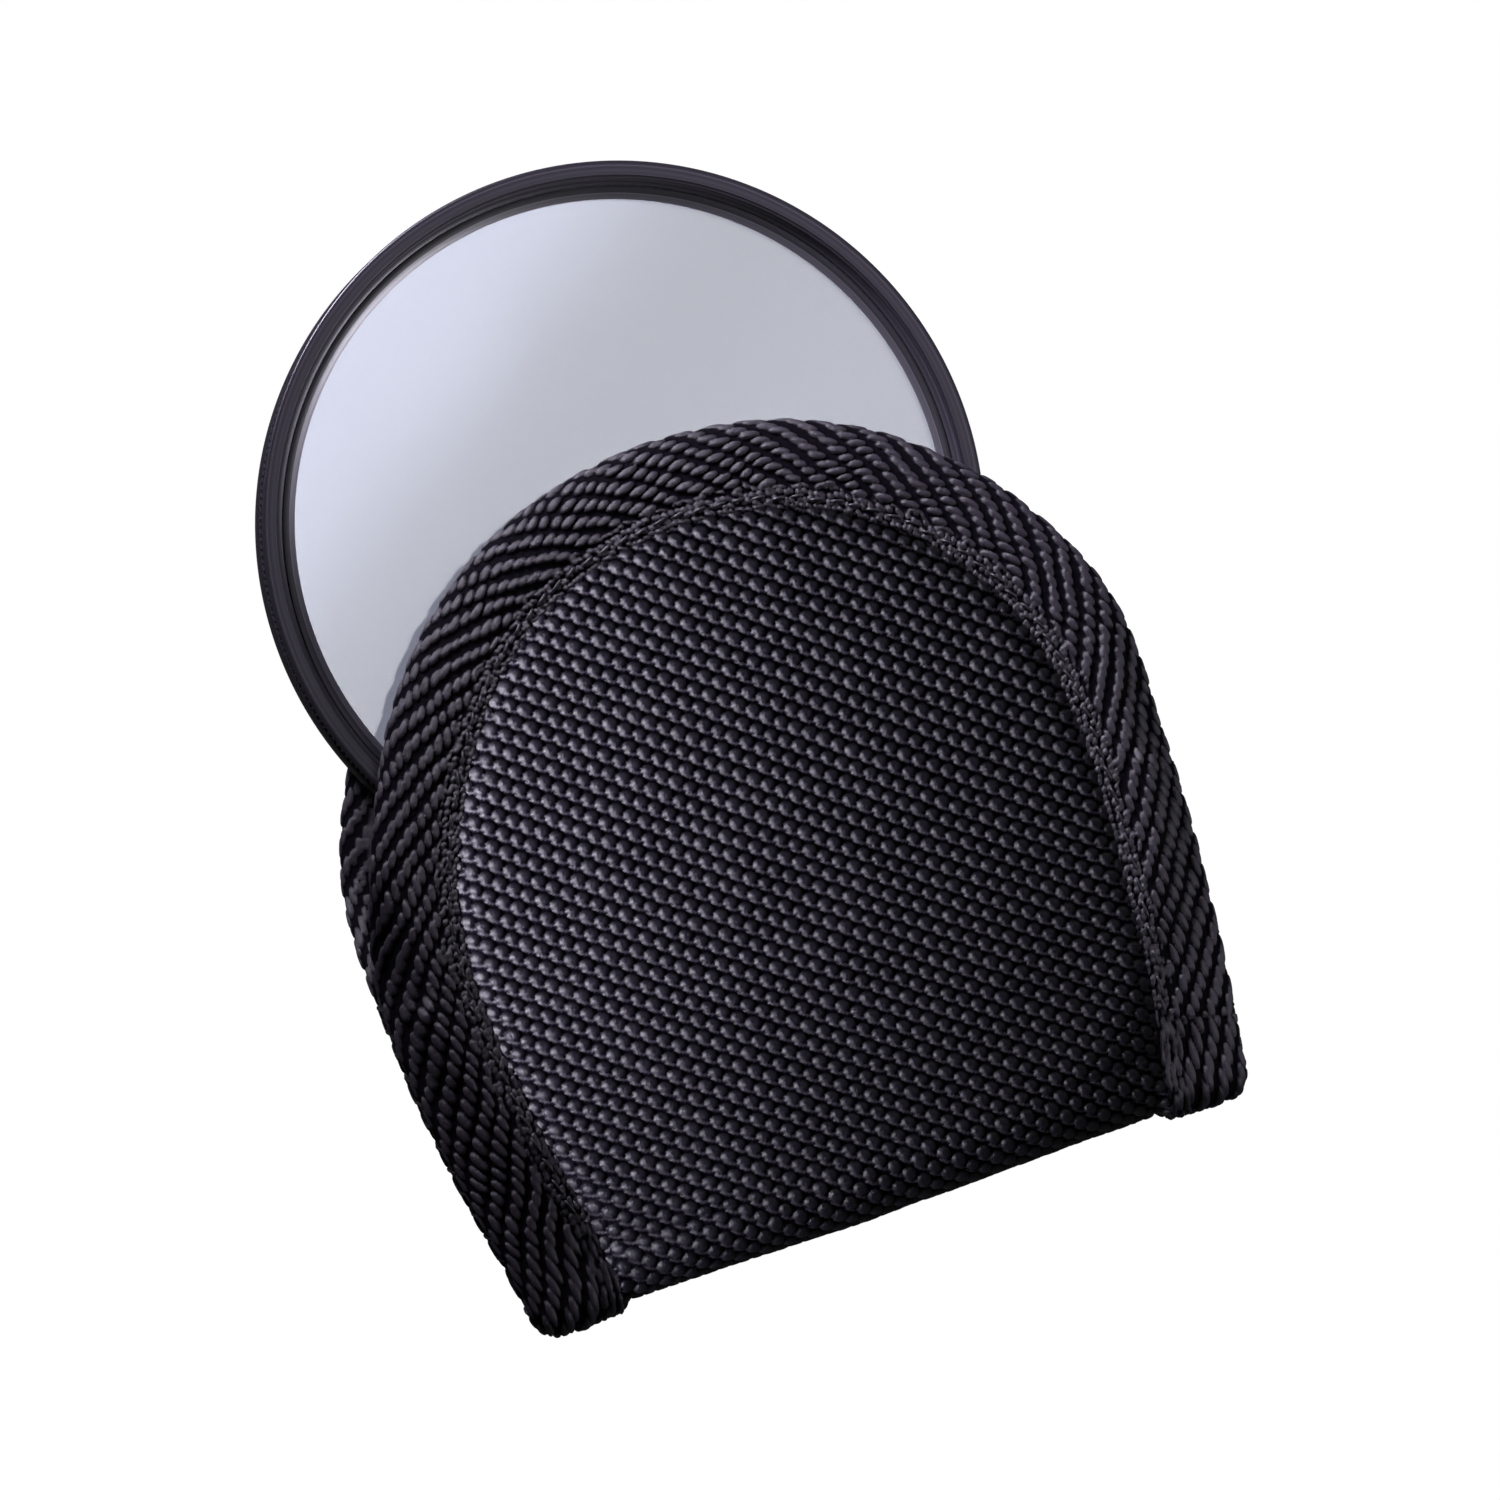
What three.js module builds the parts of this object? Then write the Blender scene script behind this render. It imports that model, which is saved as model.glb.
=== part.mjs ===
// A 77 mm screw-in polarising filter, half out of its padded, slip-in fabric pouch.
// Millimetres, +Z up. The pouch lies on its back panel: +Y runs from its folded end
// to its open, arched end, and +X runs across it. The filter's axis is parallel to Z.
import * as THREE from "three";

// ---- Pouch: outline of one panel, seen from above, from the folded end to the arch's top ----
const FOLD_HALF_WIDTH = 41.6;
const PANEL_OUTLINE = [
  [42.6, 7.5],
  [44.2, 18],
  [45.3, 28],
  [45.9, 38],
  [45.6, 44.5],
  [44.7, 50.5],
  [42.8, 57.5],
  [39.9, 64],
  [35.6, 70.8],
  [30.2, 76.6],
  [23.6, 81.6],
  [16, 85.2],
  [8, 87.2],
  [0, 87.8],
];
const SPINE_END_Y = 57.5; // the arch's rows all run to this point on the centre line
const FOLD_ROWS = 3; // rows from the middle of the fold to the start of a panel

// ---- Pouch: thickness. Heights are counted outwards from the cavity's face ----
const CAVITY_HALF_HEIGHT = 4.95;
const SEAM_HALF_GAP = 0.2; // half the gap between the two bindings where the sides are joined
const PANEL_LEVELS = { lining: 0, foam: 0.4, fabric: 2.1, top: 2.9 };
const BOUND_LEVELS = { lining: 0.7, foam: 1.0, fabric: 1.4, top: 2.1 };
const TAPE_INSIDE = 0.3; // the binding's inner face
const TAPE_OUTSIDE = 2.55; // the binding's outer face
const THREAD_GAP = 0.1; // between a row of stitches and the binding's face
const THREAD_TOP = 2.87;

// ---- Pouch: distances in from the outline at which the surfaces have their vertices ----
const CORE_EDGE = 0.5;
const TAPE_WIDTH = 9.6;
const RINGS = [CORE_EDGE, 1.6, 3.2, 5.2, TAPE_WIDTH, 10.8];
const SEAM_RING = 1; // the sides are sewn together as far in as this ring
const TAPE_RING = 4;
const STITCH_FROM = 7.9;
const STITCH_TO = 8.5;

// ---- Pouch: how the sides open ----
const SEAM_TOP_Y = 41; // the sides are joined from the fold to here
const OPEN_Y = 53; // from here on the panels stand fully apart
const FOLD_RADIUS = 2.1; // of the cavity's corner at the fold
const CORNER_RADIUS = 4; // of the bound corners, seen from above
const CORNER_BULGE = 0.8; // the bound corners stand this far past the fold

// ---- Filter: 77 x 0.75 thread, outer diameter 80 ----
const RING_RADIUS = 40;
const THREAD_RADIUS = 38.5;
const CLEAR_RADIUS = 36.05;
const GLASS_RADIUS = 37.4;
const SHOULDER_Z = 2.6; // heights here are counted from the rear end of the male thread
const FILTER_HEIGHT = 9.2;
const FILTER_LIFT = 0.3; // clearance over the lining
const FILTER_X = -3.7; // centre of the filter, from the middle of the fold
const FILTER_Y = 80.2;
const SEATED_Y = 46; // the cavity has room for that centre to come down to here
const SEGMENTS = 64;

const MIDDLE_Z = CAVITY_HALF_HEIGHT + PANEL_LEVELS.top;
const CENTRE_Y = (FILTER_Y + RING_RADIUS - 1.28) / 2; // middle of the whole length

const MATERIALS = {
  fabric: { color: 0x17151d, roughness: 0.75, metalness: 0 },
  foam: { color: 0x33333a, roughness: 0.95, metalness: 0 },
  lining: { color: 0x1c1b22, roughness: 0.9, metalness: 0 },
  tape: { color: 0x121116, roughness: 0.7, metalness: 0 },
  thread: { color: 0x0e0d12, roughness: 0.6, metalness: 0 },
  ring: { color: 0x141416, roughness: 0.45, metalness: 0.6 },
  wire: { color: 0x8c8c90, roughness: 0.3, metalness: 1 },
  glass: { color: 0xb9bdd0, roughness: 0.05, metalness: 0 },
  film: { color: 0x8f93a6, roughness: 0.2, metalness: 0 },
};

function mesh(name, geometry, material) {
  const made = new THREE.Mesh(geometry, new THREE.MeshStandardMaterial(MATERIALS[material]));
  made.name = name;
  return made;
}

// ---------------------------------------------------------------- the pouch's surfaces

const LAST_ROW = FOLD_ROWS + PANEL_OUTLINE.length;
const SPINE_RING = RINGS.length + 1;

// The outline's inward normal at one of its points, from the points on either side.
function inwardNormal(index) {
  const before = PANEL_OUTLINE[index - 1] ?? [FOLD_HALF_WIDTH, 0];
  const here = PANEL_OUTLINE[index];
  const after = PANEL_OUTLINE[index + 1] ?? [-PANEL_OUTLINE[index - 1][0], before[1]];
  const a = new THREE.Vector2(here[0] - before[0], here[1] - before[1]).normalize();
  const b = new THREE.Vector2(after[0] - here[0], after[1] - here[1]).normalize();
  const along = a.add(b).normalize();
  return new THREE.Vector2(-along.y, along.x);
}

// A point of the right half of a panel, seen from above, on one row at a distance from the outline.
function planAtDistance(row, distance) {
  if (row <= FOLD_ROWS) return new THREE.Vector2(FOLD_HALF_WIDTH - distance, 0);
  const index = row - FOLD_ROWS - 1;
  return new THREE.Vector2(...PANEL_OUTLINE[index]).addScaledVector(inwardNormal(index), distance);
}

function spinePoint(row) {
  if (row <= FOLD_ROWS) return new THREE.Vector2(0, 0);
  return new THREE.Vector2(0, Math.min(PANEL_OUTLINE[row - FOLD_ROWS - 1][1], SPINE_END_Y));
}

// The same by ring number: the last two rings are halfway to the centre line and on it.
function planAtRing(row, ring) {
  if (ring < RINGS.length) return planAtDistance(row, RINGS[ring]);
  const inner = planAtDistance(row, RINGS[RINGS.length - 1]);
  return inner.lerp(spinePoint(row), ring === SPINE_RING ? 1 : 0.5);
}

function outlineHalfWidth(y) {
  const points = [[FOLD_HALF_WIDTH, 0], ...PANEL_OUTLINE];
  for (let i = 1; i < points.length; i += 1) {
    const [x0, y0] = points[i - 1];
    const [x1, y1] = points[i];
    if (y <= y1) return THREE.MathUtils.lerp(x0, x1, (y - y0) / (y1 - y0));
  }
  return 0;
}

// Half the width that the filter's path needs at this height up the pouch.
function pathHalfWidth(y) {
  if (y >= SEATED_Y) return RING_RADIUS + 0.6;
  const rise = SEATED_Y - y;
  return Math.sqrt(Math.max(0, RING_RADIUS ** 2 - rise ** 2)) + 0.6;
}

// Half the cavity's height: full over the filter's path, and closing towards the joined sides.
function halfGap(x, y, distance) {
  const open = THREE.MathUtils.clamp((y - SEAM_TOP_Y) / (OPEN_Y - SEAM_TOP_Y), 0, 1);
  const edge = THREE.MathUtils.lerp(SEAM_HALF_GAP, CAVITY_HALF_HEIGHT, open);
  const sewn = RINGS[SEAM_RING];
  const slack = outlineHalfWidth(y) - pathHalfWidth(y) - sewn;
  const ease = y < 38 ? 0.66 : 1;
  const share = THREE.MathUtils.clamp((distance - sewn) / Math.max(slack * ease, 3.4), 0, 1);
  return THREE.MathUtils.lerp(edge, CAVITY_HALF_HEIGHT, Math.sin((share * Math.PI) / 2));
}

// Places a point of the strip: side is 1 or -1 for right or left, row is negative on the back
// panel, plan is its place seen from above, and height is counted outwards from the cavity.
function place(side, row, plan, distance, height) {
  const face = Math.sign(row);
  const steps = Math.abs(row);
  if (steps > FOLD_ROWS) {
    const z = MIDDLE_Z + face * (halfGap(plan.x, plan.y, distance) + height);
    return new THREE.Vector3(side * plan.x, plan.y - CENTRE_Y, z);
  }
  const gap = halfGap(plan.x, 5, distance);
  const bend = Math.min(FOLD_RADIUS, 0.6 * gap);
  const bound = distance <= TAPE_WIDTH;
  const rounding = distance < CORNER_RADIUS ? CORNER_RADIUS - distance : 0;
  const lift = CORNER_RADIUS - Math.sqrt(CORNER_RADIUS ** 2 - rounding ** 2);
  const centre = bend + (bound ? BOUND_LEVELS.top - CORNER_BULGE : PANEL_LEVELS.top) + lift;
  const turn = steps < 2 ? 0 : ((steps - 1) * Math.PI) / 4;
  const out = (bend + height) * Math.cos(turn);
  const up = steps === 0 ? 0 : gap - bend + (bend + height) * Math.sin(turn);
  return new THREE.Vector3(side * plan.x, centre - out - CENTRE_Y, MIDDLE_Z + face * up);
}

// Every step round the strip's edge: up over one panel's arch, round both ends of the fold.
function perimeter() {
  const steps = [];
  for (let row = LAST_ROW; row >= -LAST_ROW; row -= 1) steps.push({ side: 1, row });
  for (let row = 1 - LAST_ROW; row < LAST_ROW; row += 1) steps.push({ side: -1, row });
  return steps;
}

function pointAtRing(step, ring, height) {
  const plan = planAtRing(Math.abs(step.row), ring);
  const distance = ring < RINGS.length ? RINGS[ring] : plan.x > 0 ? 24 : 45;
  return place(step.side, step.row, plan, distance, height);
}

// A point on the face between two rings and two steps, which is split into two triangles.
// across runs from 0 at the outer ring to 1 at the inner one, along from one step to the next.
function pointOnFace(step, next, ring, across, along, height) {
  const from = (where, which) => pointAtRing(where, which, height);
  const second = across > 1 - along;
  const base = second ? from(next, ring) : from(step, ring - 1);
  const inwards = second ? from(next, ring - 1) : from(step, ring);
  const onwards = second ? from(step, ring) : from(next, ring - 1);
  const made = base.clone();
  made.addScaledVector(inwards.sub(base), second ? 1 - across : across);
  return made.addScaledVector(onwards.sub(base), second ? 1 - along : along);
}

// Collects faces by their corners and leaves out the ones that have shrunk to a line.
function surfaceBuilder() {
  const positions = [];
  const corner = (p) => `${p.x.toFixed(4)},${p.y.toFixed(4)},${p.z.toFixed(4)}`;
  function triangle(a, b, c) {
    const names = new Set([corner(a), corner(b), corner(c)]);
    if (names.size === 3) positions.push(...a.toArray(), ...b.toArray(), ...c.toArray());
  }
  function quad(a, b, c, d) {
    triangle(a, b, c);
    triangle(a, c, d);
  }
  function geometry() {
    const made = new THREE.BufferGeometry();
    made.setAttribute("position", new THREE.Float32BufferAttribute(positions, 3));
    made.computeVertexNormals();
    return made;
  }
  return { quad, geometry };
}

function levelAt(name, ring) {
  return ring <= TAPE_RING ? BOUND_LEVELS[name] : PANEL_LEVELS[name];
}

// One layer of the folded strip, between two named levels, out to the core's edge.
function layer(lower, upper) {
  const steps = perimeter();
  const { quad, geometry } = surfaceBuilder();
  const at = (step, ring, level) => pointAtRing(step, ring, levelAt(level, ring));
  steps.forEach((step, i) => {
    const next = steps[(i + 1) % steps.length];
    for (let ring = 0; ring < SPINE_RING; ring += 1) {
      const top = [
        at(step, ring, upper),
        at(next, ring, upper),
        at(next, ring + 1, upper),
        at(step, ring + 1, upper),
      ];
      const bottom = [
        at(step, ring, lower),
        at(next, ring, lower),
        at(next, ring + 1, lower),
        at(step, ring + 1, lower),
      ];
      quad(top[3], top[2], top[1], top[0]);
      quad(bottom[1], bottom[2], bottom[3], bottom[0]);
    }
    quad(at(step, 0, lower), at(step, 0, upper), at(next, 0, upper), at(next, 0, lower));
  });
  return geometry();
}

// A band that follows the strip's edge: section(step) gives its cross-section's corners in turn.
// Its faces are split the same way as the layer's where they meet: rising(j) says which corners need it.
function band(steps, section, closed, rising = () => false) {
  const { quad, geometry } = surfaceBuilder();
  const sections = steps.map(section);
  const count = sections[0].length;
  const last = closed ? sections.length : sections.length - 1;
  for (let i = 0; i < last; i += 1) {
    const here = sections[i];
    const next = sections[(i + 1) % sections.length];
    for (let j = 0; j < count; j += 1) {
      const k = (j + 1) % count;
      if (rising(j)) quad(next[j], next[k], here[k], here[j]);
      else quad(here[j], next[j], next[k], here[k]);
    }
  }
  if (!closed) {
    const first = sections[0];
    const end = sections[sections.length - 1];
    for (let j = 1; j < count - 1; j += 1) {
      quad(first[0], first[j], first[j + 1], first[0]);
      quad(end[0], end[j + 1], end[j], end[0]);
    }
  }
  return geometry();
}

// The binding's U-shaped section: over the outside, round the edge and back along the inside.
function tapeSection(step) {
  const rings = [4, 3, 2, 1, 0];
  const row = Math.abs(step.row);
  const rim = (distance, height) =>
    place(step.side, step.row, planAtDistance(row, distance), CORE_EDGE, height);
  const outer = rings.map((ring) => pointAtRing(step, ring, TAPE_OUTSIDE));
  const edge = [rim(0, TAPE_OUTSIDE - 0.5), rim(0, TAPE_INSIDE + 0.5)];
  const inner = rings.map((ring) => pointAtRing(step, ring, TAPE_INSIDE)).reverse();
  const insideLow = rings.map((ring) => pointAtRing(step, ring, BOUND_LEVELS.lining));
  const insideHigh = rings.map((ring) => pointAtRing(step, ring, BOUND_LEVELS.top)).reverse();
  return [...outer, ...edge, ...inner, ...insideLow, ...insideHigh];
}

// Whether the section's corner j lies on a run from the outline inwards.
function inwardRun(j) {
  return (j >= 7 && j < 11) || (j >= 17 && j < 21);
}

// The flat thread of a row of stitches, lying on one face of the binding.
function stitchRow(steps, low, high) {
  const share = (distance) => (distance - RINGS[TAPE_RING - 1]) / (TAPE_WIDTH - RINGS[TAPE_RING - 1]);
  const outer = share(STITCH_FROM);
  const inner = share(STITCH_TO);
  const sections = steps.flatMap((step, i) => {
    const next = steps[(i + 1) % steps.length];
    const at = (across, along, height) => pointOnFace(step, next, TAPE_RING, across, along, height);
    return [0, 1 - inner, 1 - outer].map((along) => [
      at(inner, along, high),
      at(outer, along, high),
      at(outer, along, low),
      at(inner, along, low),
    ]);
  });
  return band(sections, (section) => section, true, (j) => j === 2);
}

// The seam that joins the front and back bindings along one side, from the fold upwards.
function sideSeam(side) {
  const rows = [];
  for (let row = FOLD_ROWS + 1; row <= LAST_ROW; row += 1) {
    if (PANEL_OUTLINE[row - FOLD_ROWS - 1][1] <= SEAM_TOP_Y) rows.push(row);
  }
  const section = (row) => {
    const corners = [
      pointAtRing({ side, row }, 0, TAPE_INSIDE - 0.05),
      pointAtRing({ side, row }, SEAM_RING, TAPE_INSIDE - 0.05),
      pointAtRing({ side, row: -row }, SEAM_RING, TAPE_INSIDE - 0.05),
      pointAtRing({ side, row: -row }, 0, TAPE_INSIDE - 0.05),
    ];
    return side > 0 ? corners : corners.reverse();
  };
  return band(rows, section, false);
}

function pouch() {
  const group = new THREE.Group();
  const steps = perimeter();
  const needle = stitchRow(steps, TAPE_OUTSIDE + THREAD_GAP, THREAD_TOP);
  group.add(
    mesh("outer_fabric", layer("fabric", "top"), "fabric"),
    mesh("foam_padding", layer("foam", "fabric"), "foam"),
    mesh("lining", layer("lining", "foam"), "lining"),
    mesh("edge_binding", band(steps, tapeSection, true, inwardRun), "tape"),
    mesh("binding_stitching", needle, "thread"),
    mesh("right_side_seam", sideSeam(1), "thread"),
    mesh("left_side_seam", sideSeam(-1), "thread"),
  );
  return group;
}

// ---------------------------------------------------------------- the filter

// Turns a closed section, given as radius and height, round the filter's axis.
function turned(section) {
  const points = section.map(([radius, z]) => new THREE.Vector2(radius, z));
  points.push(points[0].clone());
  const geometry = new THREE.LatheGeometry(points, SEGMENTS);
  geometry.rotateX(Math.PI / 2);
  return geometry;
}

function disc(low, high) {
  const geometry = new THREE.CylinderGeometry(GLASS_RADIUS, GLASS_RADIUS, high - low, SEGMENTS);
  geometry.rotateX(Math.PI / 2);
  geometry.translate(0, 0, (low + high) / 2);
  return geometry;
}

// Male thread below, and a cup above it that the front ring turns in.
const REAR_RING = [
  [36.6, 0.25],
  [36.85, 0],
  [38.25, 0],
  [THREAD_RADIUS, 0.25],
  [THREAD_RADIUS, 2.0],
  [38.0, 2.2],
  [38.0, SHOULDER_Z],
  [39.8, SHOULDER_Z],
  [RING_RADIUS, 2.8],
  [RING_RADIUS, 4.8],
  [39.8, 5.0],
  [38.38, 5.0],
  [38.38, 4.5],
  [38.8, 4.5],
  [38.8, 3.8],
  [38.38, 3.8],
  [38.38, 3.2],
  [36.6, 3.2],
];

// Grip and female thread above, and a grooved sleeve with the glass's seat below.
const FRONT_RING = [
  [36.3, 3.35],
  [38.25, 3.35],
  [38.25, 3.8],
  [37.92, 3.8],
  [37.92, 4.5],
  [38.25, 4.5],
  [38.25, 5.15],
  [39.8, 5.15],
  [RING_RADIUS, 5.35],
  [RING_RADIUS, 9.0],
  [39.8, FILTER_HEIGHT],
  [38.35, FILTER_HEIGHT],
  [38.1, 8.95],
  [38.1, 7.35],
  [37.55, 7.15],
  [37.55, 4.1],
  [36.3, 4.1],
];

const RETAINING_RING = [
  [CLEAR_RADIUS, 6.27],
  [37.45, 6.27],
  [37.45, 7.05],
  [37.15, 7.05],
  [CLEAR_RADIUS, 6.4],
];

const SNAP_WIRE = [
  [38.05, 3.95],
  [38.65, 3.95],
  [38.65, 4.35],
  [38.05, 4.35],
];

function filter() {
  const group = new THREE.Group();
  const lift = PANEL_LEVELS.top + FILTER_LIFT;
  group.position.set(FILTER_X, FILTER_Y - CENTRE_Y, lift);
  group.add(
    mesh("rear_mount_ring", turned(REAR_RING), "ring"),
    mesh("snap_wire", turned(SNAP_WIRE), "wire"),
    mesh("front_rotating_ring", turned(FRONT_RING), "ring"),
    mesh("retaining_ring", turned(RETAINING_RING), "ring"),
    mesh("front_glass", disc(5.36, 6.25), "glass"),
    mesh("polarising_film", disc(5.23, 5.36), "film"),
    mesh("quarter_wave_film", disc(5.1, 5.23), "film"),
    mesh("rear_glass", disc(4.15, 5.1), "glass"),
  );
  return group;
}

const model = new THREE.Group();
model.add(pouch(), filter());

export default model;
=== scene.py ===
import math

import bmesh
import bpy
import numpy as np
from mathutils import Matrix, Vector


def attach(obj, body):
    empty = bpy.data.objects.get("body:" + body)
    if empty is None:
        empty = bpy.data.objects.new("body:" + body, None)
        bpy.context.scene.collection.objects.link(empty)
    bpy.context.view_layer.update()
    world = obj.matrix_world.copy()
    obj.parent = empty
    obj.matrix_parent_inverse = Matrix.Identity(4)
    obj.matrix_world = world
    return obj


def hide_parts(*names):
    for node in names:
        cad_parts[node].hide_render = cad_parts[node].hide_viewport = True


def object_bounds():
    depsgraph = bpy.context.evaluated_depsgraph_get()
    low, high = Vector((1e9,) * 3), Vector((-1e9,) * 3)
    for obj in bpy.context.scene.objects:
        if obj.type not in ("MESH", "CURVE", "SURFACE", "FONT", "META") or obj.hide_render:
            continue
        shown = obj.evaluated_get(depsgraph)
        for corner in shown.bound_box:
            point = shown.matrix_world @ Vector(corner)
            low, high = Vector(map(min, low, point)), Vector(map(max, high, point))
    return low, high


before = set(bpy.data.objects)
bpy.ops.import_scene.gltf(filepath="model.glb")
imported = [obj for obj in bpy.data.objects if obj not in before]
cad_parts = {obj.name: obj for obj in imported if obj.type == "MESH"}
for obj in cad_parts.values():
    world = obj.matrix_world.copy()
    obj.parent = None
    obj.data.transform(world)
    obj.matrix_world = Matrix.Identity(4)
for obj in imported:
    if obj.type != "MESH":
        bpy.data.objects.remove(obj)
cad_low, cad_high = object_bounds()

# ---------------------------------------------------------------- the pouch's dimensions, mm
CENTRE_Y = 59.46  # the frame's origin, from the fold
MIDDLE_Z = 7.85
FOLD_HALF_WIDTH = 42.3
PANEL_OUTLINE = [  # its right half, from above the fold to the top
    (43.1, 7.5), (44.7, 18), (45.8, 28), (46.3, 38), (46.0, 44.5), (45.0, 50.5), (43.0, 57.5),
    (39.9, 64), (35.6, 70.8), (30.2, 76.6), (23.6, 81.6), (16, 85.2), (8, 87.2), (0, 87.8),
]
CAVITY = 4.95  # half its height
SEAM_HALF_GAP = 0.2
SEAM_TOP_Y, OPEN_Y = 41.0, 53.0
JOIN_WIDTH = 1.6  # the panels lie together this far in from the joined sides
SHORTEST_RISE = 3.4  # from there to the cavity's full height
FOLD_START_Y = 7.5
FOLD_GAP_Y = 5.0  # from here down to the fold the cavity's height stays the same
FOLD_RADIUS = 2.1
STRIP_MIDDLE = 2.1  # lengths round the fold are measured at this height
CORNER_RADIUS = 2.3
TAPE_WIDTH = 9.8
PANEL_TOP = 2.9
FILTER_X, FILTER_Y, FILTER_Z = -3.7, 80.2, 3.2
FILTER_RADIUS, FILTER_ROOM = 40.0, 0.6
SEATED_Y = 46.0  # the filter's centre when it is wholly inside

WARP_PITCH, WEFT_PITCH = 1.43, 1.02
WEAVE_TURN = math.radians(2.6)
BEAD = (0.80, 0.61, 0.44)  # half length, half width, height
WEFT = (0.85, 0.17, 0.27)
BEAD_TURN, WEFT_TURN = math.radians(-25), math.radians(-24)
SUNK = 0.1  # how far the weave's ground lies under the panel's surface
PANEL_EDGE = 9.0  # the outer fabric begins this far in, under the binding
WEFT_SHIFT = 0.2  # the weft floats lie this far off the middle between two beads


def smooth(t):
    t = np.clip(t, 0, 1)
    return t * t * (3 - 2 * t)


def lerp(a, b, t):
    return a + (b - a) * t


def to_row(points):
    """Metres in the row frame, from millimetres in the plan."""
    moved = np.array(points, float)
    moved[..., 1] -= CENTRE_Y
    return moved * 0.001


# ---------------------------------------------------------------- outline and cavity


def smoothed_outline(step=0.25, sigma=2.6):
    """Points and inward normals of a panel's edge, from the right end of the fold to the left."""
    right = [(FOLD_HALF_WIDTH, -30.0), (FOLD_HALF_WIDTH, 0.0), (41.85, 3.5), *PANEL_OUTLINE]
    corners = np.array(right + [(-x, y) for x, y in reversed(right[:-1])])
    lengths = np.concatenate([[0], np.cumsum(np.hypot(*np.diff(corners, axis=0).T))])
    at = np.arange(0, lengths[-1], step)
    line = np.stack([np.interp(at, lengths, corners[:, k]) for k in (0, 1)], 1)
    # a Gaussian curve rounds the corners off, so the line goes on past both ends first
    reach = int(4 * sigma / step)
    kernel = np.exp(-0.5 * (np.arange(-reach, reach + 1) * step / sigma) ** 2)
    kernel /= kernel.sum()
    padded = np.concatenate([
        line[0] + np.outer(np.arange(-reach, 0), line[1] - line[0]),
        line,
        line[-1] + np.outer(np.arange(1, reach + 1), line[-1] - line[-2]),
    ])
    line = np.stack([np.convolve(padded[:, k], kernel, "valid") for k in (0, 1)], 1)
    along = np.gradient(line, axis=0)
    along /= np.linalg.norm(along, axis=1)[:, None]
    return line, np.stack([-along[:, 1], along[:, 0]], 1)


OUTLINE, INWARD = smoothed_outline()


def distance_table():
    """Distances in from the panel's edge, a millimetre apart; outside it they are negative."""
    xs, ys = np.arange(-50, 50.1), np.arange(-12, 94.1)
    grid = np.stack(np.meshgrid(xs, ys, indexing="ij"), -1).reshape(-1, 2)
    best = np.empty(len(grid))
    chunk = 2000
    for start in range(0, len(grid), chunk):
        part = grid[start : start + chunk]
        apart = part[:, None] - OUTLINE[None]
        squared = (apart**2).sum(-1)
        nearest = squared.argmin(1)
        rows = np.arange(len(part))
        side = (apart[rows, nearest] * INWARD[nearest]).sum(-1)
        best[start : start + chunk] = np.sign(side) * np.sqrt(squared[rows, nearest])
    return xs, ys, best.reshape(len(xs), len(ys))


TABLE_X, TABLE_Y, TABLE = distance_table()


def edge_distance(x, y):
    """Distance in from the panel's edge, from the table."""
    u = np.clip(x - TABLE_X[0], 0, len(TABLE_X) - 1.001)
    v = np.clip(y - TABLE_Y[0], 0, len(TABLE_Y) - 1.001)
    i, j = u.astype(int), v.astype(int)
    f, g = u - i, v - j
    low = lerp(TABLE[i, j], TABLE[i + 1, j], f)
    high = lerp(TABLE[i, j + 1], TABLE[i + 1, j + 1], f)
    return lerp(low, high, g)


HALF_WIDTHS = np.array([(FOLD_HALF_WIDTH, 0.0), *PANEL_OUTLINE])


def skew(y, face):
    """A panel's shift sideways: the two stand a little apart above the joined sides."""
    apart = (0.2 + face * 1.15) * smooth((y - 36) / 26)
    return apart - 0.35 * smooth((y - 6) / 20) * smooth((64 - y) / 22)


def half_gap(y, distance):
    """Half the cavity's height: full over the filter's path, closing towards the joined sides."""
    y = np.maximum(y, FOLD_GAP_Y)
    opened = smooth((y - SEAM_TOP_Y + 1.5) / (OPEN_Y - SEAM_TOP_Y + 3))
    edge = lerp(SEAM_HALF_GAP, CAVITY, opened)
    outline = np.interp(y, HALF_WIDTHS[:, 1], HALF_WIDTHS[:, 0])
    below = np.maximum(SEATED_Y - y, 0)
    path = np.sqrt(np.maximum(FILTER_RADIUS**2 - below**2, 0)) + FILTER_ROOM
    ease = lerp(0.66, 1.0, smooth((y - 36) / 3))
    rise = np.maximum((outline - path - JOIN_WIDTH) * ease, SHORTEST_RISE)
    share = np.clip((distance - JOIN_WIDTH) / rise, 0, 1)
    return lerp(edge, CAVITY, np.sin(share * math.pi / 2))


def fold_shape(distance):
    """Gap at the fold, the bend's radius inside, and where the bend's centre lies."""
    gap = half_gap(np.zeros_like(distance), distance)
    bend = np.minimum(FOLD_RADIUS, 0.6 * gap)
    # just short of the whole radius, where the corner's curve would end in an endless slope
    rounding = np.clip(CORNER_RADIUS - distance, 0, 0.998 * CORNER_RADIUS)
    lift = CORNER_RADIUS - np.sqrt(CORNER_RADIUS**2 - rounding**2)
    offset = lerp(1.3, PANEL_TOP, smooth((distance - TAPE_WIDTH) / 1.4))
    return gap, bend, bend + offset + lift


def fold_place(down, height, distance):
    """y and height from the middle, for a point down mm past the start of the bend."""
    gap, bend, centre = fold_shape(distance)
    radius = bend + height
    reference = bend + STRIP_MIDDLE
    turn = np.clip(down / reference, 0, math.pi / 2)
    beyond = np.maximum(down - reference * math.pi / 2, 0)
    up = np.maximum(gap - bend - beyond, 0) + radius * np.cos(turn)
    return centre - radius * np.sin(turn), up


def fold_lengths(distance):
    """Length from the start of the bend to the middle, and where the bend's centre lies."""
    gap, bend, centre = fold_shape(distance)
    return (bend + STRIP_MIDDLE) * math.pi / 2 + gap - bend, centre


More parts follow.
